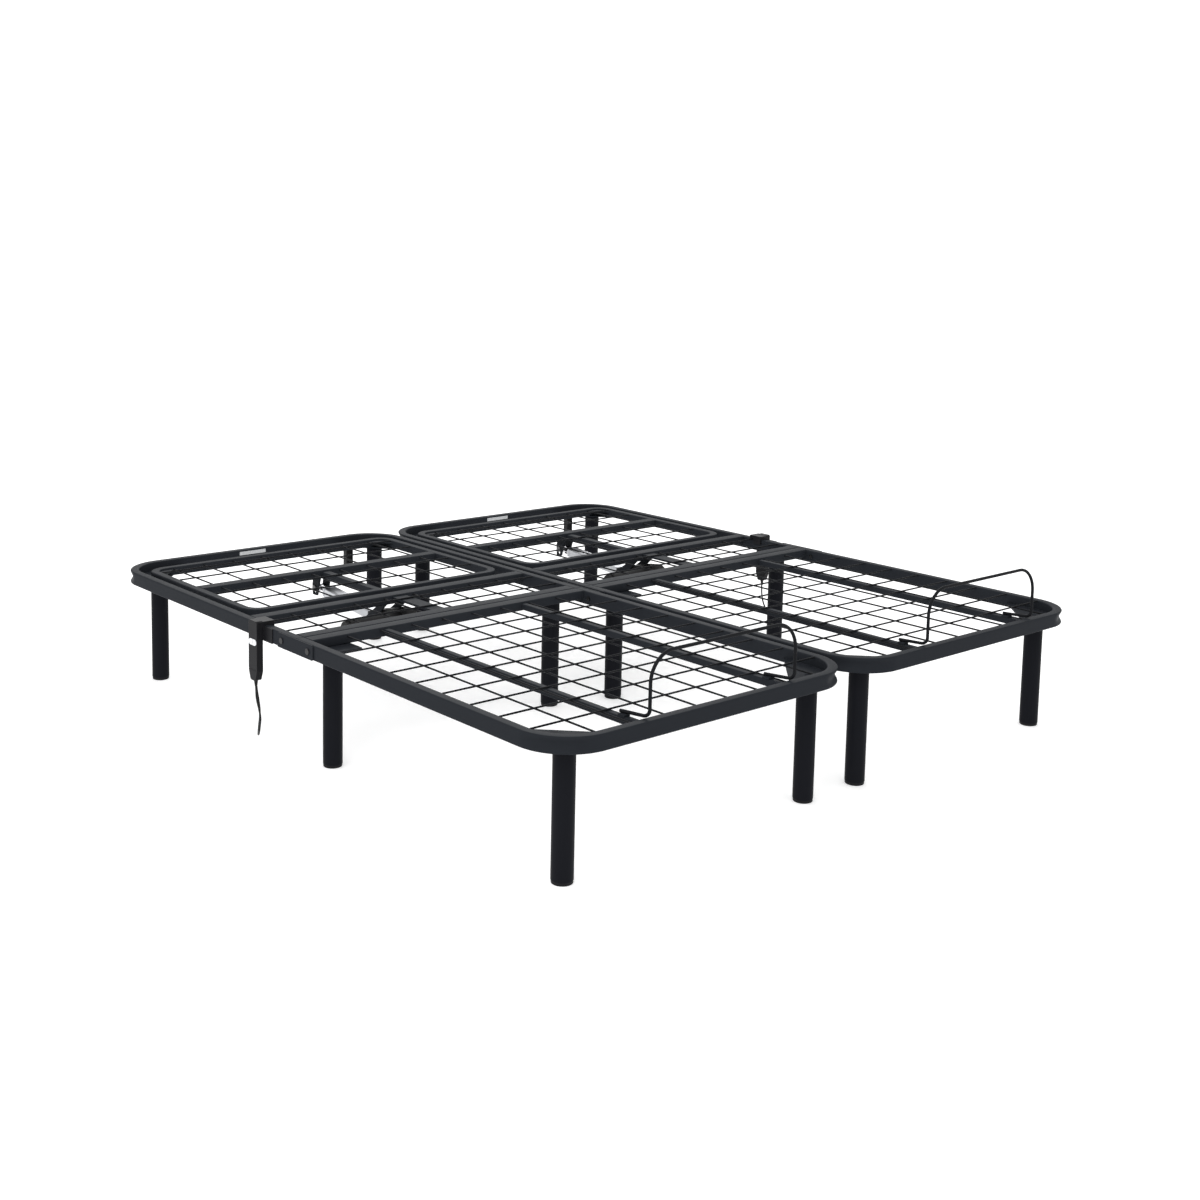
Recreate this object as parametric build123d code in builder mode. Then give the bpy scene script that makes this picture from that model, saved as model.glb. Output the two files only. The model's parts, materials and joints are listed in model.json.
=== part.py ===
from build123d import *
import os
from math import cos, sin, sqrt, tan, radians

# Driving dimensions, in mm. X is across the bed, +Y towards the head, +Z up, floor at z = 0.
unit_width = 946.0
centre_gap = 16.0
length = 2030.0
rail_top = 338.0
rail_wide = 25.0
rail_deep = 38.0
rail_wall = 2.0
corner_radius = 128.0
split_y = -13.0
split_gap = 2.0
hinge_beam_y = 238.5
plate_thick = 3.0
leg_radius = 25.0
leg_wall = 2.0
glide_height = 8.0
wire = 4.5
wire_pitch = 98.4
lateral_pitch = 101.0
foot_beam_x = 228.0
foot_beam_size = 17.0
ring_side_gap = 20.0
ring_head_gap = 73.0
ring_wide = 24.0
ring_foot_y = 291.0
cross_y = 619.0
cross_wide = 38.0
pivot_y = 272.0
pivot_drop = 19.0
lever = 80.0
lever_angle = -55.0
rod_angle = 5.0
rod_reach = 311.0
lift_max = 60.0
motor_y = 190.0
motor_drop = 64.0
motor_radius = 25.0
motor_length = 172.0
retainer_rise = 141.0
retainer_wire = 8.0
supply_x = 325.0
handset_y = 164.0
handset_wide = 42.0
handset_thick = 18.0
handset_high = 350.0
handset_long = 157.0
cord_diameter = 5.0

half_width = unit_width / 2
half_length = length / 2
inner_x = half_width - rail_wide
inner_y = half_length - rail_wide
rail_mid = rail_top - rail_deep / 2
plate_top = rail_top - rail_wide
plate_low = plate_top - plate_thick
foot_end = split_y - split_gap / 2
head_end = split_y + split_gap / 2
lateral_z = rail_top - wire / 2
long_z = lateral_z - wire - 0.01
bar_top = lateral_z - wire / 2
leg_x = half_width - 90.0
head_leg_y = half_length - 103.0
foot_leg_y = -half_length + 85.0
foot_mid_leg_y = foot_end - 28.0
head_mid_leg_y = head_end + 26.0
pivot_z = rail_top - pivot_drop
rear_y = pivot_y + lever * cos(radians(lever_angle))
rear_z = pivot_z + lever * sin(radians(lever_angle))
pin_y = rear_y + rod_reach * cos(radians(rod_angle))
pin_z = rear_z + rod_reach * sin(radians(rod_angle))
rod_stroke = lever
slot_drop = lever * (1 - cos(radians(lift_max / 2)))
motor_z = rail_top - motor_drop
ring_x = inner_x - ring_side_gap
ring_head_y = inner_y - ring_head_gap
ring_low = plate_top + 0.1
ring_deep = rail_top - ring_low

os.makedirs("parts", exist_ok=True)


def save(part, name):
    part.label = name
    export_step(part, "parts/" + name + ".step")


def tube_path(points, radius, wide, deep, wall, closed=False):
    """A bent rectangular tube that follows flat points at one height."""
    first = Vector(*points[0])
    second = Vector(*points[1])
    with BuildPart() as tube:
        with BuildLine() as path:
            FilletPolyline(*points, radius=radius, close=closed)
        along = (second - first).normalized()
        side = along.cross(Vector(0, 0, 1))
        start = (first + second) * 0.5 if closed else first
        with BuildSketch(Plane(origin=start, x_dir=side, z_dir=along)):
            RectangleRounded(wide, deep, 3.5)
            RectangleRounded(wide - 2 * wall, deep - 2 * wall, 1.5, mode=Mode.SUBTRACT)
        sweep(path=path.line)
    return tube.part


def beam_x(x0, x1, y, top, wide, deep, wall):
    """A straight tube along X."""
    with BuildPart() as beam:
        with BuildSketch(Plane.YZ.offset(x0)):
            with Locations((y, top - deep / 2)):
                RectangleRounded(wide, deep, 3.0)
                RectangleRounded(wide - 2 * wall, deep - 2 * wall, 1.5, mode=Mode.SUBTRACT)
        extrude(amount=x1 - x0)
    return beam.part


def beam_y(x, y0, y1, top, wide, deep, wall):
    """A straight tube along Y."""
    with BuildPart() as beam:
        with BuildSketch(Plane.XZ.offset(-y0)):
            with Locations((x, top - deep / 2)):
                RectangleRounded(wide, deep, 2.0)
                RectangleRounded(wide - 2 * wall, deep - 2 * wall, 0.8, mode=Mode.SUBTRACT)
        extrude(amount=y0 - y1)
    return beam.part


def block(x0, x1, y0, y1, z0, z1):
    with BuildPart() as piece:
        with BuildSketch(Plane.XY.offset(z0)):
            with Locations(((x0 + x1) / 2, (y0 + y1) / 2)):
                Rectangle(abs(x1 - x0), abs(y1 - y0))
        extrude(amount=z1 - z0)
    return piece.part


def rod_x(x0, x1, y, z, radius):
    with BuildPart() as rod:
        with BuildSketch(Plane.YZ.offset(min(x0, x1))):
            with Locations((y, z)):
                Circle(radius)
        extrude(amount=abs(x1 - x0))
    return rod.part


def rod_y(x, y0, y1, z, radius):
    with BuildPart() as rod:
        with BuildSketch(Plane.XZ.offset(-y0)):
            with Locations((x, z)):
                Circle(radius)
        extrude(amount=y0 - y1)
    return rod.part


def rod_z(x, y, z0, z1, radius):
    with BuildPart() as rod:
        with BuildSketch(Plane.XY.offset(z0)):
            with Locations((x, y)):
                Circle(radius)
        extrude(amount=z1 - z0)
    return rod.part


def plate_x(x0, x1, points):
    """A plate square to X with an outline of (y, z) points."""
    with BuildPart() as plate:
        with BuildSketch(Plane.YZ.offset(min(x0, x1))):
            with BuildLine():
                Polyline(*points, close=True)
            make_face()
        extrude(amount=abs(x1 - x0))
    return plate.part


def inside_x(y):
    """Half the clear width between the side rails at y, corners included."""
    bend = half_length - corner_radius
    over = abs(y) - bend
    if over <= 0:
        return inner_x
    reach = corner_radius - rail_wide
    return half_width - corner_radius + sqrt(reach * reach - over * over)


def corner_plate(side, end):
    """The gusset that carries a corner leg, with a straight inner edge."""
    reach = 195.0
    x1 = side * (inner_x + 2)
    y1 = end * (inner_y + 2)
    with BuildPart() as plate:
        with BuildSketch(Plane.XY.offset(plate_low)):
            with BuildLine():
                Polyline((x1, y1), (x1 - side * reach, y1), (x1, y1 - end * reach), close=True)
            make_face()
            RectangleRounded(
                2 * (inner_x + 1), 2 * (inner_y + 1), corner_radius - rail_wide + 1, mode=Mode.INTERSECT
            )
        extrude(amount=plate_thick)
    return plate.part


def mid_plate(side, y0, y1):
    return block(side * (inner_x + 1), side * (inner_x - 112), y0, y1, plate_low, plate_top)


def leg_spots():
    spots = {}
    spots["head_legs"] = [(-leg_x, head_leg_y), (leg_x, head_leg_y)]
    spots["middle_legs"] = [(-leg_x, foot_mid_leg_y), (leg_x, head_mid_leg_y)]
    spots["foot_legs"] = [(-leg_x, foot_leg_y), (leg_x, foot_leg_y)]
    return spots


def splice_bolts_at():
    return [(split_y - 61, rail_mid), (split_y + 63, rail_mid)]


def foot_frame():
    x = half_width - rail_wide / 2
    y = half_length - rail_wide / 2
    points = [(-x, foot_end, rail_mid), (-x, -y, rail_mid), (x, -y, rail_mid), (x, foot_end, rail_mid)]
    body = tube_path(points, corner_radius - rail_wide / 2, rail_wide, rail_deep, rail_wall)
    beam_mid = foot_end - rail_deep / 2
    body += beam_x(-inner_x, inner_x, beam_mid, rail_top, rail_deep, rail_wide, rail_wall)
    for side in (-1, 1):
        body += beam_y(
            side * foot_beam_x, -inner_y, foot_end - rail_deep, bar_top, foot_beam_size, foot_beam_size, 1.5
        )
        body += corner_plate(side, -1)
    body += mid_plate(-1, foot_end - 90, foot_end)
    for x0, y0 in leg_spots()["foot_legs"] + leg_spots()["middle_legs"][:1]:
        body -= rod_z(x0, y0, plate_low - 1, plate_top + 0.5, 6.02)
    for y0, z0 in splice_bolts_at()[:1]:
        body -= rod_x(-half_width - 1, half_width + 1, y0, z0, 4.1)
    return body


def head_frame():
    x = half_width - rail_wide / 2
    y = half_length - rail_wide / 2
    points = [(-x, head_end, rail_mid), (-x, y, rail_mid), (x, y, rail_mid), (x, head_end, rail_mid)]
    body = tube_path(points, corner_radius - rail_wide / 2, rail_wide, rail_deep, rail_wall)
    beam_mid = head_end + rail_deep / 2
    body += beam_x(-inner_x, inner_x, beam_mid, rail_top, rail_deep, rail_wide, rail_wall)
    body += beam_x(-inner_x, inner_x, hinge_beam_y, rail_top, rail_deep, rail_wide, rail_wall)
    bar_y0 = head_end + rail_deep
    bar_y1 = hinge_beam_y - rail_deep / 2
    body += block(-21.5, 21.5, bar_y0, bar_y1, bar_top - 6, bar_top)
    for side in (-1, 1):
        body += corner_plate(side, 1)
        for lug in (-8.5, 8.5):
            x0 = side * foot_beam_x + lug
            body += hinge_lug(x0 - 2.5, x0 + 2.5, hinge_beam_y + rail_deep / 2 - 0.5, 4.02)
        body += rear_ear(side)
    body += mid_plate(1, head_end, head_end + 90)
    for x0, y0 in leg_spots()["head_legs"] + leg_spots()["middle_legs"][1:]:
        body -= rod_z(x0, y0, plate_low - 1, plate_top + 0.5, 6.02)
    for y0, z0 in splice_bolts_at()[1:]:
        body -= rod_x(-half_width - 1, half_width + 1, y0, z0, 4.1)
    return body


def hinge_lug(x0, x1, root_y, hole):
    """A flat ear with an eye on the head hinge's line."""
    with BuildPart() as lug:
        with BuildSketch(Plane.YZ.offset(x0)):
            with Locations((pivot_y, pivot_z)):
                Circle(9.0)
            with Locations(((pivot_y + root_y) / 2, pivot_z + 1)):
                Rectangle(abs(root_y - pivot_y), 13.0)
            with Locations((pivot_y, pivot_z)):
                Circle(hole, mode=Mode.SUBTRACT)
        extrude(amount=x1 - x0)
    return lug.part


def rear_ear(side):
    """One cheek of the clevis that holds the actuator's rear pin."""
    y0 = hinge_beam_y - 8
    y1 = hinge_beam_y + rail_deep / 2
    z0 = rail_top - rail_wide
    points = [(y0, z0), (y1, z0), (rear_y + 15, rear_z + 4)]
    points += [(rear_y + 9, rear_z - 13), (rear_y - 9, rear_z - 13)]
    ear = plate_x(side * 30, side * 35, points)
    ear -= rod_x(side * 29, side * 36, rear_y, rear_z, 5.02)
    return ear


def foot_mesh():
    y0 = -inner_y
    y1 = foot_end - rail_deep
    with BuildPart() as mesh:
        for i in range(8):
            x = (i - 3.5) * wire_pitch
            add(rod_y(x, y0, y1, long_z, wire / 2))
        for i in range(8):
            y = y0 + 95 + i * lateral_pitch
            reach = inside_x(y)
            add(rod_x(-reach, reach, y, lateral_z, wire / 2))
    return mesh.part


def mid_mesh():
    y0 = head_end + rail_deep
    y1 = hinge_beam_y - rail_deep / 2
    with BuildPart() as mesh:
        for i in range(8):
            x = (i - 3.5) * wire_pitch
            add(rod_y(x, y0, y1, long_z, wire / 2))
        for part_way in (0.24, 0.79):
            y = y0 + part_way * (y1 - y0)
            add(rod_x(-inner_x, inner_x, y, lateral_z, wire / 2))
    return mesh.part


def deck_frame():
    """The lifting frame: a closed ring, a crossbeam, a centre beam, ears and hinge lugs."""
    x = ring_x - ring_wide / 2
    y0 = ring_foot_y + ring_wide / 2
    y1 = ring_head_y - ring_wide / 2
    z = (rail_top + ring_low) / 2
    points = [(-x, y0, z), (-x, y1, z), (x, y1, z), (x, y0, z)]
    body = tube_path(points, 45.0, ring_wide, ring_deep, rail_wall, closed=True)
    span = ring_x - ring_wide
    body += beam_x(-span, span, cross_y, rail_top, cross_wide, ring_deep, rail_wall)
    body += beam_y(0, ring_foot_y + ring_wide, cross_y - cross_wide / 2, bar_top, 24.0, 20.0, rail_wall)
    for side in (-1, 1):
        body += ring_gusset(side)
        x0 = side * foot_beam_x
        body += hinge_lug(x0 - 5.5, x0 + 5.5, ring_foot_y + 0.5, 4.05)
        body += lift_ear(side)
    return body


def ring_gusset(side):
    x1 = side * (ring_x - 6)
    y1 = ring_head_y - 6
    with BuildPart() as plate:
        with BuildSketch(Plane.XY.offset(rail_top - 9)):
            with BuildLine():
                Polyline(
                    (x1, y1 - 24),
                    (x1, y1 - 95),
                    (x1 - side * 95, y1),
                    (x1 - side * 24, y1),
                    close=True,
                )
            make_face()
        extrude(amount=4.0)
    return plate.part


def lift_ear(side):
    """An ear under the crossbeam, with the slot that the rod's pin runs in."""
    z0 = ring_low
    y0 = cross_y - 17
    y1 = cross_y + 17
    low = pin_z - slot_drop
    points = [
        (y0, z0),
        (y1, z0),
        (pin_y + 14, pin_z + 12),
        (pin_y + 12, low - 10),
        (pin_y - 11, low - 10),
        (pin_y - 18, pin_z + 8),
    ]
    ear = plate_x(side * 15, side * 21, points)
    lean = rod_angle - 90
    with BuildPart() as slot:
        with BuildSketch(Plane.YZ.offset(min(side * 14, side * 22))):
            with Locations((pin_y + slot_drop / 2 * cos(radians(lean)), pin_z - slot_drop / 2)):
                SlotOverall(slot_drop + 13.2, 12.4, rotation=lean)
        extrude(amount=8)
    return ear - slot.part


def deck_mesh():
    foot_bay = (ring_foot_y + ring_wide, cross_y - cross_wide / 2)
    head_bay = (cross_y + cross_wide / 2, ring_head_y - ring_wide)
    reach = ring_x - ring_wide
    with BuildPart() as mesh:
        for i in range(8):
            x = (i - 3.5) * wire_pitch
            for y0, y1 in (foot_bay, head_bay):
                add(rod_y(x, y0, y1, long_z, wire / 2))
        for (y0, y1), part_way in ((foot_bay, 0.37), (foot_bay, 0.76), (head_bay, 0.4), (head_bay, 0.84)):
            y = y0 + part_way * (y1 - y0)
            add(rod_x(-reach, reach, y, lateral_z, wire / 2))
    return mesh.part


def legs(spots):
    body = None
    for x, y in spots:
        leg = rod_z(x, y, glide_height, plate_low, leg_radius)
        leg -= rod_z(x, y, glide_height, plate_low - 6, leg_radius - leg_wall)
        leg += rod_z(x, y, plate_low, plate_top - 0.5, 6.0)
        body = leg if body is None else body + leg
    return body


def glides():
    body = None
    for spots in leg_spots().values():
        for x, y in spots:
            with BuildPart() as foot:
                with BuildSketch(Plane.XY):
                    with Locations((x, y)):
                        Circle(leg_radius - 1)
                extrude(amount=glide_height)
                fillet(foot.edges().group_by(Axis.Z)[0], 2.0)
            piece = foot.part + rod_z(x, y, glide_height, glide_height + 14, leg_radius - leg_wall)
            body = piece if body is None else body + piece
    return body


def splice_plates():
    body = None
    for side in (-1, 1):
        with BuildPart() as plate:
            with BuildSketch(Plane.YZ.offset(side * half_width if side > 0 else -half_width - 3)):
                with Locations((split_y, rail_mid)):
                    RectangleRounded(168.0, rail_deep, 5.0)
                with Locations(*[(y, rail_mid) for y, z in splice_bolts_at()]):
                    Circle(4.1, mode=Mode.SUBTRACT)
            extrude(amount=3.0)
        body = plate.part if body is None else body + plate.part
    return body


def splice_bolts():
    body = None
    for side in (-1, 1):
        for y, z in splice_bolts_at():
            bolt = rod_x(side * (inner_x - 4), side * inner_x, y, z, 5.8)
            bolt += rod_x(side * inner_x, side * (half_width + 3), y, z, 4.0)
            bolt += rod_x(side * (half_width + 3), side * (half_width + 5.5), y, z, 8.0)
            body = bolt if body is None else body + bolt
    return body


def retainer_points():
    y = -half_length + rail_wide / 2
    low = rail_top + retainer_wire / 2
    top = rail_top + retainer_rise
    inward = y + 72
    return [
        (-foot_beam_x, inward, low),
        (-210, y, low),
        (-210, y, top),
        (250, y, top),
        (250, y, low),
        (foot_beam_x, inward, low),
    ]


def round_wire(points, radii, diameter):
    """A round rod through points, with its own radius at each corner."""
    first = Vector(*points[0])
    along = (Vector(*points[1]) - first).normalized()
    with BuildPart() as rod:
        with BuildLine() as path:
            FilletPolyline(*points, radius=radii)
        with BuildSketch(Plane(origin=first, z_dir=along)):
            Circle(diameter / 2)
        sweep(path=path.line)
    return rod.part, sum(edge.length for edge in path.edges())


def retainer_bar():
    part, run = round_wire(retainer_points(), [16.0, 65.0, 65.0, 16.0], retainer_wire)
    return part


def retainer_clips():
    body = None
    y = -half_length + rail_wide / 2 + 60
    for side in (-1, 1):
        x = side * foot_beam_x
        clip = block(x - 9, x + 9, y - 10, y + 10, bar_top, rail_top)
        body = clip if body is None else body + clip
    return body


def hinge_pins():
    body = None
    for side in (-1, 1):
        x = side * foot_beam_x
        pin = rod_x(x - 14, x + 14, pivot_y, pivot_z, 4.0)
        pin += rod_x(x - 16, x - 11.2, pivot_y, pivot_z, 7.0)
        pin += rod_x(x + 11.2, x + 16, pivot_y, pivot_z, 7.0)
        body = pin if body is None else body + pin
    return body


def rear_pin():
    pin = rod_x(-38, 38, rear_y, rear_z, 5.0)
    pin += rod_x(-40, -35.2, rear_y, rear_z, 8.0)
    pin += rod_x(35.2, 40, rear_y, rear_z, 8.0)
    return pin


def gearbox():
    points = [
        (motor_y - 29, motor_z - 22),
        (motor_y - 27, motor_z + 18),
        (motor_y - 8, motor_z + 29),
        (motor_y + 44, motor_z + 22),
        (rear_y + 4, rear_z + 21),
        (rear_y + 20, rear_z + 16),
        (rear_y + 20, rear_z - 18),
        (rear_y - 12, rear_z - 21),
        (motor_y + 58, rear_z - 16),
        (motor_y + 4, motor_z - 33),
    ]
    body = plate_x(-25, 25, points)
    body = fillet(body.edges().filter_by(Axis.X), 5.0)
    body -= rod_x(-26, 26, rear_y, rear_z, 5.05)
    return body


def motor():
    body = rod_x(-25, -25 - motor_length + 10, motor_y, motor_z, motor_radius)
    body += rod_x(-25 - motor_length + 10, -25 - motor_length, motor_y, motor_z, motor_radius - 3)
    return body


def along_rod(s, drop=0.0):
    y = rear_y + s * cos(radians(rod_angle)) + drop * sin(radians(rod_angle))
    z = rear_z + s * sin(radians(rod_angle)) - drop * cos(radians(rod_angle))
    return (0, y, z)


def rod_plane(s):
    return Plane(
        origin=along_rod(s), x_dir=(1, 0, 0), z_dir=(0, cos(radians(rod_angle)), sin(radians(rod_angle)))
    )


def actuator_tube():
    tube_end = rod_reach - 50
    with BuildPart() as tube:
        with BuildSketch(rod_plane(22.0)):
            RectangleRounded(40.0, 27.0, 4.0)
            RectangleRounded(34.0, 21.0, 2.0, mode=Mode.SUBTRACT)
        extrude(amount=tube_end - 22)
        with BuildSketch(rod_plane(tube_end)):
            RectangleRounded(42.0, 29.0, 5.0)
            Circle(9.3, mode=Mode.SUBTRACT)
        extrude(amount=7)
    return tube.part


def push_rod():
    with BuildPart() as rod:
        with BuildSketch(rod_plane(60.0)):
            Circle(9.0)
        extrude(amount=rod_reach - 60)
    body = rod.part + rod_x(-12, 12, pin_y, pin_z, 11.0)
    body -= rod_x(-13, 13, pin_y, pin_z, 5.02)
    return body


def lift_pin():
    pin = rod_x(-22, 22, pin_y, pin_z, 5.0)
    pin += rod_x(-24.5, -22, pin_y, pin_z, 9.0)
    pin += rod_x(22, 24.5, pin_y, pin_z, 9.0)
    return pin


def power_supply():
    """A slim box held against the inside of the head rail."""
    high = plate_low - 0.2
    with BuildPart() as box:
        with BuildSketch(Plane.XY.offset(high - 72)):
            with Locations((supply_x, inner_y - 11)):
                RectangleRounded(26, 22, 3)
        extrude(amount=72)
    return box.part


def out(side, amount):
    """X of a point that far outside the outer rail's outer face, on one side of the unit."""
    return side * (half_width + amount)


def handset_holder(side):
    """The holster: a plate on the rail's outer face, two cheeks, and a saddle over the rail."""
    y0 = handset_y - handset_wide / 2
    y1 = handset_y + handset_wide / 2
    low = rail_top - rail_deep
    high = handset_high - 1
    lip = rail_top - 16
    far = -rail_wide - 5
    body = block(out(side, 0), out(side, 2.5), y0 - 46, y1 + 2.5, low, rail_top)
    body += block(out(side, far), out(side, 2.5), y0 - 2.5, y1 + 2.5, rail_top, high)
    body += block(out(side, far), out(side, -rail_wide), y0 - 2.5, handset_y + 8, lip, rail_top)
    for edge in (y0 - 2.5, y1 + 0.3):
        body += block(out(side, 2.5), out(side, 12), edge, edge + 2.2, low + 4, high)
    return body


def handset_block(side, u0, u1):
    """One shell of the handset, between two distances out from the rail, with a tapered bottom."""
    x0 = min(out(side, u0), out(side, u1))
    high = handset_high
    low = high - handset_long
    half = handset_wide / 2
    points = [
        (handset_y - half, high),
        (handset_y + half, high),
        (handset_y + half, low + 26),
        (handset_y + 12, low),
        (handset_y - 12, low),
        (handset_y - half, low + 26),
    ]
    with BuildPart() as shell:
        with BuildSketch(Plane.YZ.offset(x0)):
            with BuildLine():
                Polyline(*points, close=True)
            face = make_face()
            fillet(face.vertices(), 6.0)
        extrude(amount=abs(u1 - u0))
    return shell.part


def button_face(side, which, grow, u0, u1):
    """A D-shaped button, or with grow the well that it sits in."""
    x0 = min(out(side, u0), out(side, u1))
    z = handset_high - 56
    y = handset_y + which
    with BuildPart() as key:
        with BuildSketch(Plane.YZ.offset(x0)):
            with Locations((y + which * 4.5, z)):
                Rectangle(9.0 + 2 * grow, 16.0 + 2 * grow)
            with Locations((y + which * 9.0, z)):
                Circle(8.0 + grow)
        extrude(amount=abs(u1 - u0))
    return key.part


def handset_front(side):
    outer = 2.5 + handset_thick
    body = handset_block(side, outer - 10, outer)
    for which in (-1, 1):
        body -= button_face(side, which, 0.4, outer - 5, outer + 1)
    low = handset_high - 128
    y0, y1 = handset_y - 22, handset_y + 22
    body -= block(out(side, outer - 0.8), out(side, outer + 1), y0, y1, low - 1, low + 1)
    return body


def handset_back(side):
    return handset_block(side, 2.5, 2.5 + handset_thick - 10)


def button(side, which):
    outer = 2.5 + handset_thick
    return button_face(side, which, 0.0, outer - 2.8, outer + 1.2)


def cord_start(side):
    low = handset_high - handset_long
    return (out(side, 2.5 + handset_thick / 2), handset_y, low - 18)


def handset_relief(side):
    x, y, z = cord_start(side)
    with BuildPart() as relief:
        with BuildSketch(Plane.XY.offset(z)):
            with Locations((x, y)):
                Circle(cord_diameter / 2 + 0.6)
        with BuildSketch(Plane.XY.offset(z + 18)):
            with Locations((x, y)):
                Circle(5.5)
        loft()
    return relief.part


# The cords' routes from the handset's end: inwards, towards the head end, and up.
left_cord_steps = [
    (0, 0, 0),
    (0, 0, -28),
    (0, -14, -54),
    (0, -23, -78),
    (2, -16, -98),
    (6, -4, -124),
    (20, 26, -142),
    (38, 54, -130),
    (47, 62, -100),
    (47, 68, -68),
    (48, 80, -40),
    (48, 85, -8),
    (47, 85, 30),
    (48, 85, 62),
    (48, 85, 92),
]
right_cord_steps = [
    (0, 0, 0),
    (0, 0, -30),
    (3, -12, -60),
    (8, -36, -86),
    (17, -62, -106),
    (31, -90, -108),
    (43, -107, -88),
    (47, -108, -62),
    (48, -110, -26),
    (47, -110, 14),
    (48, -110, 54),
    (48, -110, 92),
]


def cord_points(side):
    """The handset cord's route: down beside the rail, a turn near the floor, up inside the rail."""
    x, y, z = cord_start(side)
    steps = left_cord_steps if side < 0 else right_cord_steps
    return [(x - side * inward, y + ahead, z + up) for inward, ahead, up in steps]


def corner_radii(points):
    radii = []
    for a, b, c in zip(points, points[1:], points[2:]):
        first = Vector(*b) - Vector(*a)
        second = Vector(*c) - Vector(*b)
        turn = first.get_angle(second)
        radii.append(0.45 * min(first.length, second.length) / tan(radians(turn) / 2))
    return radii


def handset_cord(side):
    points = cord_points(side)
    radii = corner_radii(points)
    part, run = round_wire(points, radii, cord_diameter)
    section = 3.14159265 * (cord_diameter / 2) ** 2
    print("cord length", round(run, 1), "tightest bend", round(min(radii), 1))
    print("cord volume over section times length", round(part.volume / (section * run), 4))
    return part


def handset_connector(side):
    """The plug at the cord's far end, upright in a clip on the side rail's inner face."""
    x, y, z = cord_points(side)[-1]
    body = rod_z(x, y, z, z + 40, 7.5)
    body += block(x, out(side, -rail_wide), y - 5, y + 5, z + 34, z + 40)
    return body


def fixed_pieces(side):
    pieces = {
        "foot_frame": foot_frame(),
        "foot_mesh": foot_mesh(),
        "head_frame": head_frame(),
        "mid_mesh": mid_mesh(),
        "leg_glides": glides(),
        "splice_plates": splice_plates(),
        "splice_bolts": splice_bolts(),
        "retainer_bar": retainer_bar(),
        "retainer_clips": retainer_clips(),
        "hinge_pins": hinge_pins(),
        "rear_pin": rear_pin(),
        "power_supply": power_supply(),
        "handset_holder": handset_holder(side),
        "handset_front": handset_front(side),
        "handset_back": handset_back(side),
        "handset_relief": handset_relief(side),
        "handset_cord": handset_cord(side),
        "handset_connector": handset_connector(side),
    }
    for name, spots in leg_spots().items():
        pieces[name] = legs(spots)
    return pieces


def moving_pieces(side):
    return {
        "deck_frame": deck_frame(),
        "deck_mesh": deck_mesh(),
        "gearbox": gearbox(),
        "motor": motor(),
        "actuator_tube": actuator_tube(),
        "push_rod": push_rod(),
        "lift_pin": lift_pin(),
        "button_up": button(side, 1),
        "button_down": button(side, -1),
    }


print("head hinge", pivot_y, pivot_z)
print("rear pin", round(rear_y, 2), round(rear_z, 2), "rod pin", round(pin_y, 2), round(pin_z, 2))
print("rod stroke", rod_stroke, "slot", round(slot_drop, 2))
for unit, side in (("left", -1), ("right", 1)):
    shift = Location((side * (unit_width + centre_gap) / 2, 0, 0))
    pieces = fixed_pieces(side)
    pieces.update(moving_pieces(side))
    for name, part in pieces.items():
        save(part.moved(shift), unit + "_" + name)
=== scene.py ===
import bmesh
import bpy
import json
from math import cos, pi, radians, sin
from mathutils import Matrix, Vector


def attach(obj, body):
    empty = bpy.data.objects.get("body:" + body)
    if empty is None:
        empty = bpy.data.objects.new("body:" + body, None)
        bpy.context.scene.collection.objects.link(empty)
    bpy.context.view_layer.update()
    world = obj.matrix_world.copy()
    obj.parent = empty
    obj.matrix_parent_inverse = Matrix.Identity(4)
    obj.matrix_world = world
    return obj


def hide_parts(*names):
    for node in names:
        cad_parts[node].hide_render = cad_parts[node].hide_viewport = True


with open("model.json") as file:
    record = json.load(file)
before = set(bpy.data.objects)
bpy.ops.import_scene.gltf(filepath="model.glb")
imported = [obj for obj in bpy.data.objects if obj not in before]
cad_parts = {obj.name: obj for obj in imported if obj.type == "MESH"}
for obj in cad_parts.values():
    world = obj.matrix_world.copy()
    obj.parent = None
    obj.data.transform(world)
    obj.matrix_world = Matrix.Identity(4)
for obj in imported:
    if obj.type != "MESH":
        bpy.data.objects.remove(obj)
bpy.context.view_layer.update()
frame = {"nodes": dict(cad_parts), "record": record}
nodes = frame["nodes"]
scene = bpy.context.scene

# Sizes in metres, the same as the CAD part's.
UNIT_X = 0.481
HALF = 0.473
TOP = 0.338
SIDES = (("left", -1), ("right", 1))
CORD_THICK = 0.005
CORD_EXIT_OUT, CORD_EXIT_Y, CORD_EXIT_Z = 0.0115, 0.164, 0.175
CORD_LENGTHS = (0.427, 0.368)


# ---------------------------------------------------------------- materials
GRAIN_DEPTH = 0.0004
CLOUD_SCALE = 9.0


def socket(node, name):
    return node.inputs[name]


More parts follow.
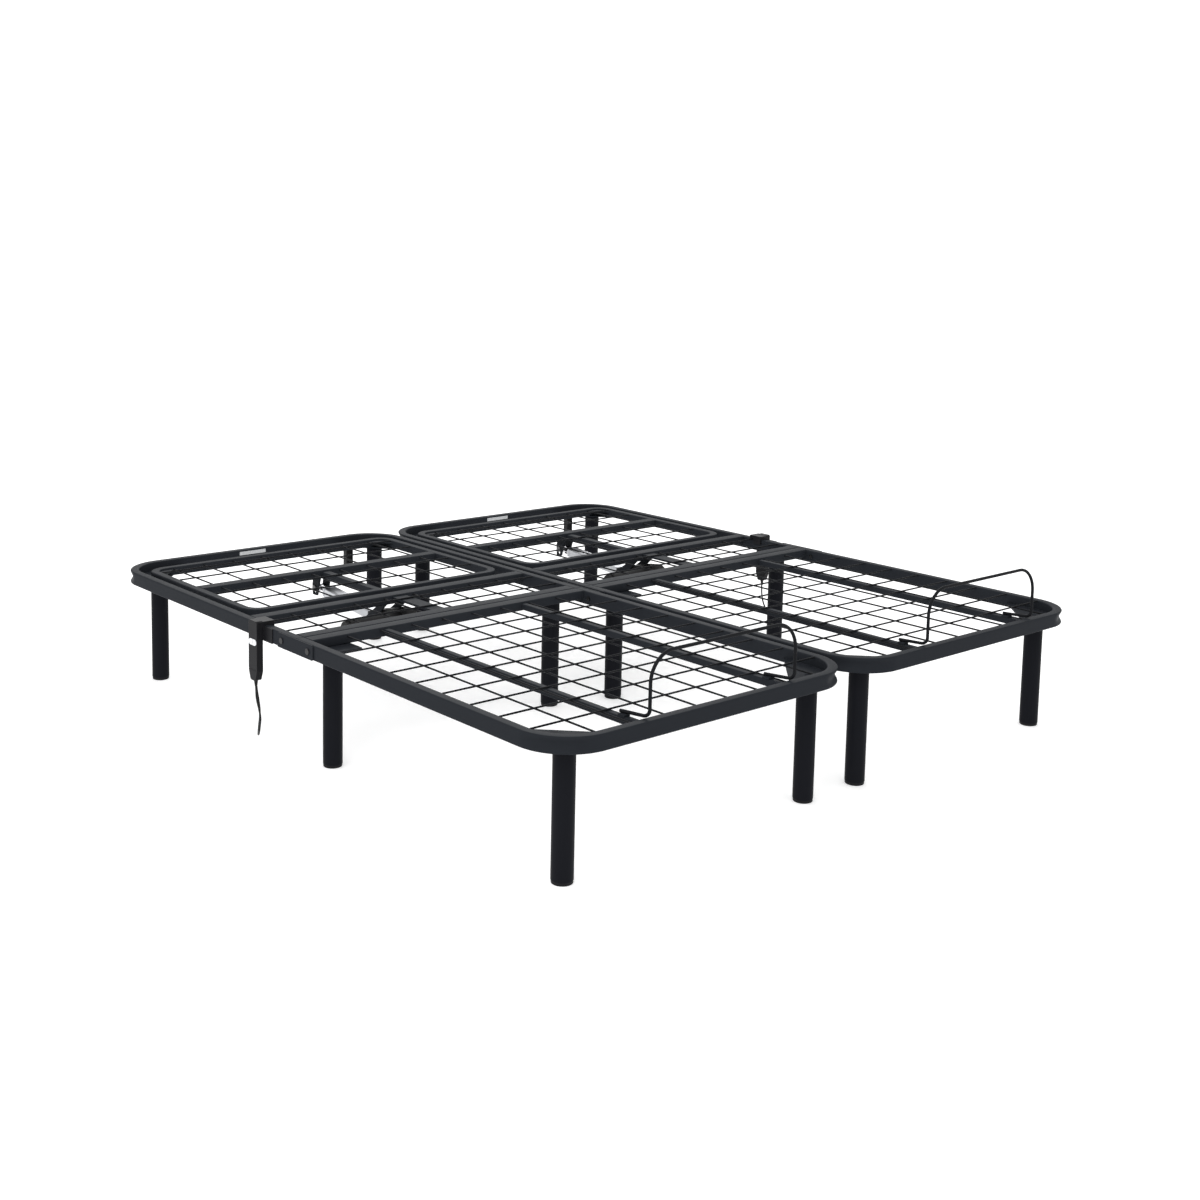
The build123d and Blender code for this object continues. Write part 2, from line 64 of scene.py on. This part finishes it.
def new_material(
    name, colour, rough, metal=0.0, bump=0.0, scale=900.0, vary=0.0, bevel=0.0, shine=0.5
):
    """A plain procedural finish: colour, roughness, fine bumps, slow variation, softened edges."""
    mat = bpy.data.materials.new(name)
    mat.use_nodes = True
    tree = mat.node_tree
    shader = tree.nodes["Principled BSDF"]
    socket(shader, "Base Color").default_value = (*colour, 1.0)
    socket(shader, "Roughness").default_value = rough
    socket(shader, "Metallic").default_value = metal
    socket(shader, "Specular IOR Level").default_value = shine
    coords = tree.nodes.new("ShaderNodeTexCoord")
    last = None
    if bevel:
        soft = tree.nodes.new("ShaderNodeBevel")
        soft.samples = 4
        socket(soft, "Radius").default_value = bevel
        last = soft.outputs["Normal"]
    if bump:
        grain = tree.nodes.new("ShaderNodeTexNoise")
        socket(grain, "Scale").default_value = scale
        socket(grain, "Detail").default_value = 3.0
        tree.links.new(coords.outputs["Object"], socket(grain, "Vector"))
        bumps = tree.nodes.new("ShaderNodeBump")
        socket(bumps, "Strength").default_value = bump
        socket(bumps, "Distance").default_value = GRAIN_DEPTH
        tree.links.new(grain.outputs["Fac"], socket(bumps, "Height"))
        if last:
            tree.links.new(last, socket(bumps, "Normal"))
        last = bumps.outputs["Normal"]
    if last:
        tree.links.new(last, socket(shader, "Normal"))
    if vary:
        cloud = tree.nodes.new("ShaderNodeTexNoise")
        socket(cloud, "Scale").default_value = CLOUD_SCALE
        socket(cloud, "Detail").default_value = 4.0
        tree.links.new(coords.outputs["Object"], socket(cloud, "Vector"))
        span = tree.nodes.new("ShaderNodeMapRange")
        socket(span, "To Min").default_value = rough - vary
        socket(span, "To Max").default_value = rough + vary
        tree.links.new(cloud.outputs["Fac"], socket(span, "Value"))
        tree.links.new(span.outputs["Result"], socket(shader, "Roughness"))
    return mat


FRAME = new_material(
    "frame powder coat", (0.0165, 0.0185, 0.0222), 0.42,
    bump=0.22, scale=1400, vary=0.05, bevel=0.0012, shine=0.02,
)
WIRE = new_material(
    "wire powder coat", (0.010, 0.0105, 0.012), 0.40,
    bump=0.12, scale=1400, vary=0.04, shine=0.03,
)
LEG = new_material(
    "leg powder coat", (0.0075, 0.0080, 0.0104), 0.40,
    bump=0.12, scale=1200, vary=0.04, bevel=0.001, shine=0.03,
)
GLIDE = new_material("nylon glide", (0.006, 0.006, 0.007), 0.55, bump=0.2, scale=700, shine=0.15)
ZINC = new_material("dark zinc", (0.12, 0.12, 0.125), 0.38, metal=1.0, bump=0.1, vary=0.08)
BOLT = new_material(
    "black oxide bolt", (0.012, 0.012, 0.013), 0.32,
    metal=0.3, bump=0.1, vary=0.06, bevel=0.0006, shine=0.3,
)
MOTOR = new_material(
    "motor housing plastic", (0.005, 0.005, 0.0055), 0.42,
    bump=0.3, scale=1100, vary=0.05, bevel=0.0015, shine=0.18,
)
ALLOY = new_material(
    "anodised extrusion", (0.50, 0.51, 0.53), 0.30,
    metal=1.0, bump=0.1, scale=600, vary=0.06, bevel=0.0008,
)
STEEL = new_material("ground rod", (0.45, 0.45, 0.47), 0.18, metal=1.0, bump=0.04, vary=0.04)
HANDSET = new_material(
    "handset plastic", (0.009, 0.009, 0.0105), 0.42,
    bump=0.25, scale=1600, vary=0.04, bevel=0.0014, shine=0.08,
)
PALE = new_material("pale button", (0.72, 0.73, 0.75), 0.45, bump=0.08, scale=900, bevel=0.0008)
CORD = new_material(
    "cord jacket", (0.004, 0.004, 0.0045), 0.45,
    bump=0.15, scale=800, vary=0.05, shine=0.2,
)
PAPER = new_material("blank label", (0.45, 0.46, 0.47), 0.6)

FINISH = {
    "frame_black": FRAME,
    "wire_black": WIRE,
    "leg_black": LEG,
    "glide_black": GLIDE,
    "zinc": ZINC,
    "bolt_black": BOLT,
    "motor_black": MOTOR,
    "anodised": ALLOY,
    "rod_steel": STEEL,
    "handset_black": HANDSET,
    "button_pale": PALE,
    "cord_black": CORD,
}


def paint_nodes():
    for entry in frame["record"]["subparts"]:
        node = nodes[entry["node"]]
        node.data.materials.clear()
        node.data.materials.append(FINISH[entry["material_slot"]])


paint_nodes()


# ---------------------------------------------------------------- mesh helpers
def mesh_object(name, verts, faces, material, smooth=True):
    mesh = bpy.data.meshes.new(name)
    mesh.from_pydata([tuple(v) for v in verts], [], faces)
    mesh.update()
    if smooth:
        mesh.shade_smooth()
    obj = bpy.data.objects.new(name, mesh)
    scene.collection.objects.link(obj)
    mesh.materials.append(material)
    return obj


def curve_object(name, points, radius, material, resolution=16, sides=6):
    """A round rod through points, as a smooth curve with a bevel."""
    data = bpy.data.curves.new(name, "CURVE")
    data.dimensions = "3D"
    data.resolution_u = resolution
    data.bevel_depth = radius
    data.bevel_resolution = sides
    data.use_fill_caps = True
    line = data.splines.new("NURBS")
    line.points.add(len(points) - 1)
    for spot, p in zip(line.points, points):
        spot.co = (*p, 1.0)
    line.order_u = 3
    line.use_endpoint_u = True
    obj = bpy.data.objects.new(name, data)
    scene.collection.objects.link(obj)
    data.materials.append(material)
    return obj


# ---------------------------------------------------------------- handset cords
# The cords' routes from the handset's end: inwards, towards the head end, and up.
LEFT_CORD = [
    (0.000, 0.000, 0.000),
    (0.000, 0.000, -0.028),
    (0.000, -0.014, -0.054),
    (0.000, -0.023, -0.078),
    (0.002, -0.016, -0.098),
    (0.006, -0.004, -0.124),
    (0.020, 0.026, -0.142),
    (0.038, 0.054, -0.130),
    (0.047, 0.062, -0.100),
    (0.047, 0.068, -0.068),
    (0.048, 0.080, -0.040),
    (0.048, 0.085, -0.008),
    (0.047, 0.085, 0.030),
    (0.048, 0.085, 0.062),
    (0.048, 0.085, 0.092),
]
RIGHT_CORD = [
    (0.000, 0.000, 0.000),
    (0.000, 0.000, -0.030),
    (0.003, -0.012, -0.060),
    (0.008, -0.036, -0.086),
    (0.017, -0.062, -0.106),
    (0.031, -0.090, -0.108),
    (0.043, -0.107, -0.088),
    (0.047, -0.108, -0.062),
    (0.048, -0.110, -0.026),
    (0.047, -0.110, 0.014),
    (0.048, -0.110, 0.054),
    (0.048, -0.110, 0.092),
]


def cord_points(side):
    """The cord's points, from the handset's strain relief to its plug."""
    x = side * (UNIT_X + HALF + CORD_EXIT_OUT)
    y, z = CORD_EXIT_Y, CORD_EXIT_Z
    steps = LEFT_CORD if side < 0 else RIGHT_CORD
    return [(x - side * inward, y + ahead, z + up) for inward, ahead, up in steps]


def add_cords():
    for (unit, side), length in zip(SIDES, CORD_LENGTHS):
        points = cord_points(side)
        cord = curve_object(unit + "_cord", points, CORD_THICK / 2, CORD, resolution=24)
        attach(cord, "base")
        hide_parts(unit + "_handset_cord")


# ---------------------------------------------------------------- detailed frames
# Tubes, plates and ears where the CAD part has them, with the bends' outer walls drawn in.
SHARP_FROM = radians(32)
RAIL_WIDE, RAIL_DEEP = 0.025, 0.038
INNER_X, INNER_Y = 0.448, 0.990
HALF_LENGTH = 1.015
BEND = 0.1155
BEND_STEPS = 28
STRAIGHT_STEPS = 7
WALL_STEPS = 12
WAIST = 0.0065
EDGE = 0.0035
BEAM_EDGE = 0.003
FOOT_END, HEAD_END = -0.014, -0.012
HINGE_BEAM_Y = 0.2385
LONG_BEAM_X, LONG_BEAM_SIZE = 0.228, 0.017
WIRE_DEPTH = 0.0045
LONG_BEAM_EDGE = 0.002
LEG_X, LEG_Y = 0.383, 0.930
LEG_BOLT_RADIUS, LEG_BOLT_HIGH = 0.008, 0.003
MOTOR_BAR_HALF, MOTOR_BAR_THICK = 0.0215, 0.006
PLATE_LOW, PLATE_TOP = 0.310, 0.313
PLATE_INNER_X, PLATE_LONG = 0.336, 0.09
PIVOT_Y, PIVOT_Z = 0.272, 0.319
LUG_APART, LUG_THICK, LUG_RADIUS, LUG_ROOT_Y = 0.017, 0.005, 0.009, 0.257
REAR_Y, REAR_Z = 0.31789, 0.25347
REAR_EAR_X, REAR_EAR_THICK = 0.030, 0.005
LABEL_HALF, LABEL_LOW, LABEL_TOP, LABEL_THICK = 0.046, 0.322, 0.333, 0.0004


class Shape:
    """Vertices and faces of one piece, gathered from simple solids."""

    def __init__(self):
        self.verts, self.faces = [], []

    def loops(self, rings):
        """Skin between rings of equal length, with flat ends."""
        base, n = len(self.verts), len(rings[0])
        for ring in rings:
            self.verts.extend(ring)
        for i in range(len(rings) - 1):
            a, b = base + i * n, base + (i + 1) * n
            for k in range(n):
                m = (k + 1) % n
                self.faces.append((a + k, a + m, b + m, b + k))
        end = base + (len(rings) - 1) * n
        self.faces.append(tuple(base + k for k in reversed(range(n))))
        self.faces.append(tuple(end + k for k in range(n)))

    def prism_x(self, x0, x1, outline):
        """An outline of (y, z) points pushed from x0 to x1."""
        low, high = min(x0, x1), max(x0, x1)
        self.loops([[(x, y, z) for y, z in outline] for x in (low, high)])

    def prism_y(self, y0, y1, outline):
        """An outline of (x, z) points pushed from y0 to y1."""
        self.loops([[(x, y, z) for x, z in outline] for y in (y1, y0)])

    def prism_z(self, z0, z1, outline):
        """An outline of (x, y) points pushed from z0 to z1."""
        self.loops([[(x, y, z) for x, y in outline] for z in (z0, z1)])

    def dome(self, x, y, z, radius, height, steps=20):
        """A low rounded bolt head that faces up."""
        rings = []
        for drop in (0.0, 0.35, 0.7, 0.92):
            r = radius * (1 - drop * drop) ** 0.5
            turns = [2 * pi * k / steps for k in range(steps)]
            rings.append([(x + r * cos(a), y + r * sin(a), z + height * drop) for a in turns])
        self.loops(rings)

    def build(self, name, material, shift_x):
        moved = [(x + shift_x, y, z) for x, y, z in self.verts]
        obj = mesh_object(name, moved, self.faces, material)
        bm = bmesh.new()
        bm.from_mesh(obj.data)
        bmesh.ops.recalc_face_normals(bm, faces=bm.faces)
        bm.to_mesh(obj.data)
        bm.free()
        obj.data.set_sharp_from_angle(angle=SHARP_FROM)
        return obj


def rounded(cu, cv, wide, deep, radius, steps=5):
    """A rounded rectangle's outline round a centre."""
    points = []
    for qu, qv, start in ((1, 1, 0), (-1, 1, 90), (-1, -1, 180), (1, -1, 270)):
        for i in range(steps + 1):
            a = radians(start + 90 * i / steps)
            u = cu + qu * (wide / 2 - radius) + radius * cos(a)
            v = cv + qv * (deep / 2 - radius) + radius * sin(a)
            points.append((u, v))
    return points


def box_outline(u0, u1, v0, v1):
    """The four corners of a plain rectangle."""
    return [(u0, v0), (u1, v0), (u1, v1), (u0, v1)]


def rail_stations(end, stop_y):
    """The bent rail's centre line as (x, y, outward x, outward y, how far into a bend)."""
    mid_x = HALF - RAIL_WIDE / 2
    mid_y = HALF_LENGTH - RAIL_WIDE / 2
    cx, cy = mid_x - BEND, mid_y - BEND
    line = [(-mid_x, stop_y, -1.0, 0.0, 0.0)]
    for i in range(STRAIGHT_STEPS):
        y = stop_y + (end * cy - stop_y) * (i + 0.5) / STRAIGHT_STEPS
        line.append((-mid_x, y, -1.0, 0.0, 0.0))
    for corner in (-1, 1):
        for i in range(BEND_STEPS + 1):
            t = i / BEND_STEPS
            a = pi / 2 * (t if corner < 0 else 1 - t)
            ox, oy = corner * cos(a), end * sin(a)
            into = min(1.0, 4.0 * min(t, 1 - t))
            into = into * into * (3 - 2 * into)
            line.append((corner * cx + BEND * ox, end * cy + BEND * oy, ox, oy, into))
    for i in range(STRAIGHT_STEPS):
        y = end * cy + (stop_y - end * cy) * (i + 0.5) / STRAIGHT_STEPS
        line.append((mid_x, y, 1.0, 0.0, 0.0))
    line.append((mid_x, stop_y, 1.0, 0.0, 0.0))
    return line


def rail(shape, end, stop_y):
    """The side and end rail: a rectangular tube whose outer wall sinks in along its bends."""
    section = []
    half_u, half_v, r = RAIL_WIDE / 2, RAIL_DEEP / 2, EDGE
    wall = RAIL_DEEP - 2 * r
    for i in range(WALL_STEPS + 1):
        v = -half_v + r + wall * i / WALL_STEPS
        inside = 0 < i < WALL_STEPS
        section.append((half_u, v, cos(pi * v / wall) ** 1.4 if inside else 0.0))
    # The outer wall's own ends stand for the first and the last point of the corner arcs.
    for qu, qv, start in ((1, 1, 0), (-1, 1, 90), (-1, -1, 180), (1, -1, 270)):
        for i in range(1 if start == 0 else 0, 5 if start == 270 else 6):
            a = radians(start + 90 * i / 5)
            section.append((qu * (half_u - r) + r * cos(a), qv * (half_v - r) + r * sin(a), 0.0))
    rings = []
    for x, y, ox, oy, into in rail_stations(end, stop_y):
        ring = []
        for u, v, sink in section:
            out = u - WAIST * sink * into
            ring.append((x + ox * out, y + oy * out, TOP - RAIL_DEEP / 2 + v))
        rings.append(ring)
    shape.loops(rings)


def corner_gusset(shape, hand, end):
    """The plate over a corner leg: a straight inner edge and a rounded outer corner."""
    reach, inner, sunk, steps = 0.193, 0.103, 0.001, 10
    points = [
        (hand * (INNER_X + sunk), end * (INNER_Y - reach)),
        (hand * (INNER_X - reach), end * (INNER_Y + sunk)),
    ]
    cx, cy = INNER_X - inner, INNER_Y - inner
    radius = inner + sunk
    for i in range(steps + 1):
        a = pi / 2 * (1 - i / steps)
        points.append((hand * (cx + radius * cos(a)), end * (cy + radius * sin(a))))
    shape.prism_z(PLATE_LOW, PLATE_TOP, points)


def leg_plate(shape, hand, end_y, step):
    """The plate over a middle leg, from the frame's open end."""
    outline = box_outline(hand * INNER_X, hand * PLATE_INNER_X, end_y, end_y + step)
    shape.prism_z(PLATE_LOW, PLATE_TOP, outline)


def cross_beam(shape, mid_y):
    """A flat rectangular tube between the side rails."""
    outline = rounded(mid_y, TOP - RAIL_WIDE / 2, RAIL_DEEP, RAIL_WIDE, BEAM_EDGE)
    shape.prism_x(-INNER_X, INNER_X, outline)


def hinge_ear(shape, x, steps=12):
    """A flat ear: a round eye on the head hinge's line and straight sides to the beam."""
    outline = []
    for i in range(steps + 1):
        a = radians(-90 + 180 * i / steps)
        outline.append((PIVOT_Y + LUG_RADIUS * cos(a), PIVOT_Z + LUG_RADIUS * sin(a)))
    outline += [(LUG_ROOT_Y, PIVOT_Z + 0.0075), (LUG_ROOT_Y, PIVOT_Z - 0.0055)]
    shape.prism_x(x - LUG_THICK / 2, x + LUG_THICK / 2, outline)


def show_frame(shape, unit, side, node):
    """Build one frame and let it stand for the CAD node."""
    obj = shape.build(unit + "_" + node + "_shown", FRAME, side * UNIT_X)
    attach(obj, "base")
    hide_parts(unit + "_" + node)


def foot_frame(unit, side):
    shape = Shape()
    rail(shape, -1, FOOT_END)
    cross_beam(shape, FOOT_END - RAIL_DEEP / 2)
    beam_mid = TOP - WIRE_DEPTH - LONG_BEAM_SIZE / 2
    for hand in (-1, 1):
        outline = rounded(
            hand * LONG_BEAM_X, beam_mid, LONG_BEAM_SIZE, LONG_BEAM_SIZE, LONG_BEAM_EDGE
        )
        shape.prism_y(-INNER_Y, FOOT_END - RAIL_DEEP, outline)
        corner_gusset(shape, hand, -1)
        shape.dome(hand * LEG_X, -LEG_Y, PLATE_TOP, LEG_BOLT_RADIUS, LEG_BOLT_HIGH)
    leg_plate(shape, -1, FOOT_END, -PLATE_LONG)
    show_frame(shape, unit, side, "foot_frame")


def head_frame(unit, side):
    shape = Shape()
    rail(shape, 1, HEAD_END)
    for mid in (HEAD_END + RAIL_DEEP / 2, HINGE_BEAM_Y):
        cross_beam(shape, mid)
    bar_top = TOP - WIRE_DEPTH
    outline = box_outline(-MOTOR_BAR_HALF, MOTOR_BAR_HALF, bar_top - MOTOR_BAR_THICK, bar_top)
    shape.prism_y(HEAD_END + RAIL_DEEP, HINGE_BEAM_Y - RAIL_DEEP / 2, outline)
    for hand in (-1, 1):
        corner_gusset(shape, hand, 1)
        for lug in (-1, 1):
            hinge_ear(shape, hand * LONG_BEAM_X + lug * LUG_APART / 2)
        ear = [
            (HINGE_BEAM_Y - 0.008, PLATE_TOP),
            (HINGE_BEAM_Y + RAIL_DEEP / 2, PLATE_TOP),
            (REAR_Y + 0.015, REAR_Z + 0.004),
            (REAR_Y + 0.009, REAR_Z - 0.013),
            (REAR_Y - 0.009, REAR_Z - 0.013),
        ]
        shape.prism_x(hand * REAR_EAR_X, hand * (REAR_EAR_X + REAR_EAR_THICK), ear)
    leg_plate(shape, 1, HEAD_END, PLATE_LONG)
    show_frame(shape, unit, side, "head_frame")


def labels(unit, side):
    """A blank label on the inside of the head rail."""
    middle = -0.025 if side < 0 else 0.0
    shape = Shape()
    outline = box_outline(middle - LABEL_HALF, middle + LABEL_HALF, LABEL_LOW, LABEL_TOP)
    shape.prism_y(INNER_Y - LABEL_THICK, INNER_Y, outline)
    obj = shape.build(unit + "_head_label", PAPER, side * UNIT_X)
    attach(obj, "base")


def add_frames():
    for unit, side in SIDES:
        foot_frame(unit, side)
        head_frame(unit, side)
        labels(unit, side)


# ---------------------------------------------------------------- camera and light
SENSOR = 36.0
FRAME_SIZE, FOCAL, CENTRE_X, CENTRE_Y = 1200.0, 1548.0, 536.5, 420.0
CAMERA_SPOT = (-2.9073, -3.2608, 1.3617)
PITCH, YAW, ROLL = radians(7.114), radians(39.964), radians(0.9295)


def add_camera():
    """A camera fitted to the photograph, with a shift that keeps the verticals nearly upright."""
    data = bpy.data.cameras.new("camera")
    camera = bpy.data.objects.new("camera", data)
    scene.collection.objects.link(camera)
    scene.camera = camera
    ahead = Vector((sin(YAW) * cos(PITCH), cos(YAW) * cos(PITCH), -sin(PITCH)))
    right = Vector((cos(YAW), -sin(YAW), 0.0))
    up = right.cross(ahead)
    turned = right * cos(ROLL) + up * sin(ROLL)
    tall = up * cos(ROLL) - right * sin(ROLL)
    camera.matrix_world = Matrix.Translation(CAMERA_SPOT) @ Matrix(
        (
            (turned.x, tall.x, -ahead.x, 0),
            (turned.y, tall.y, -ahead.y, 0),
            (turned.z, tall.z, -ahead.z, 0),
            (0, 0, 0, 1),
        )
    )
    data.sensor_width = SENSOR
    data.lens = SENSOR * FOCAL / FRAME_SIZE
    data.shift_x = (FRAME_SIZE / 2 - CENTRE_X) / FRAME_SIZE
    data.shift_y = (CENTRE_Y - FRAME_SIZE / 2) / FRAME_SIZE
    data.clip_end = 60.0


def area_light(name, place, target, size, power):
    data = bpy.data.lights.new(name, "AREA")
    data.shape = "RECTANGLE"
    data.size, data.size_y = size
    data.energy = power
    lamp = bpy.data.objects.new(name, data)
    scene.collection.objects.link(lamp)
    lamp.location = place
    aim = Vector(target) - Vector(place)
    lamp.rotation_euler = aim.to_track_quat("-Z", "Y").to_euler()


def add_studio():
    world = bpy.data.worlds.new("studio")
    world.use_nodes = True
    sky = world.node_tree.nodes["Background"]
    socket(sky, "Color").default_value = (1, 1, 1, 1)
    socket(sky, "Strength").default_value = 1.12
    scene.world = world
    area_light("key", (-3.0, -2.0, 4.0), (0, 0, 0.3), (2.5, 2.5), 70)
    area_light("back", (2.5, 4.0, 3.0), (0, 0, 0.3), (4.0, 1.5), 60)
    area_light("side", (-5.0, 2.0, 1.5), (0, 0, 0.3), (2.0, 2.0), 20)
    floor_mat = new_material("floor", (0.88, 0.88, 0.88), 0.8)
    shader = floor_mat.node_tree.nodes["Principled BSDF"]
    socket(shader, "Emission Color").default_value = (1, 1, 1, 1)
    socket(shader, "Emission Strength").default_value = 0.25
    reach = 120.0
    corners = [(x, y, 0) for x, y in box_outline(-reach, reach, -reach, reach)]
    floor = mesh_object("floor", corners, [(0, 1, 2, 3)], floor_mat, smooth=False)
    scene.view_settings.view_transform = "Standard"


add_cords()
add_frames()
add_camera()
add_studio()
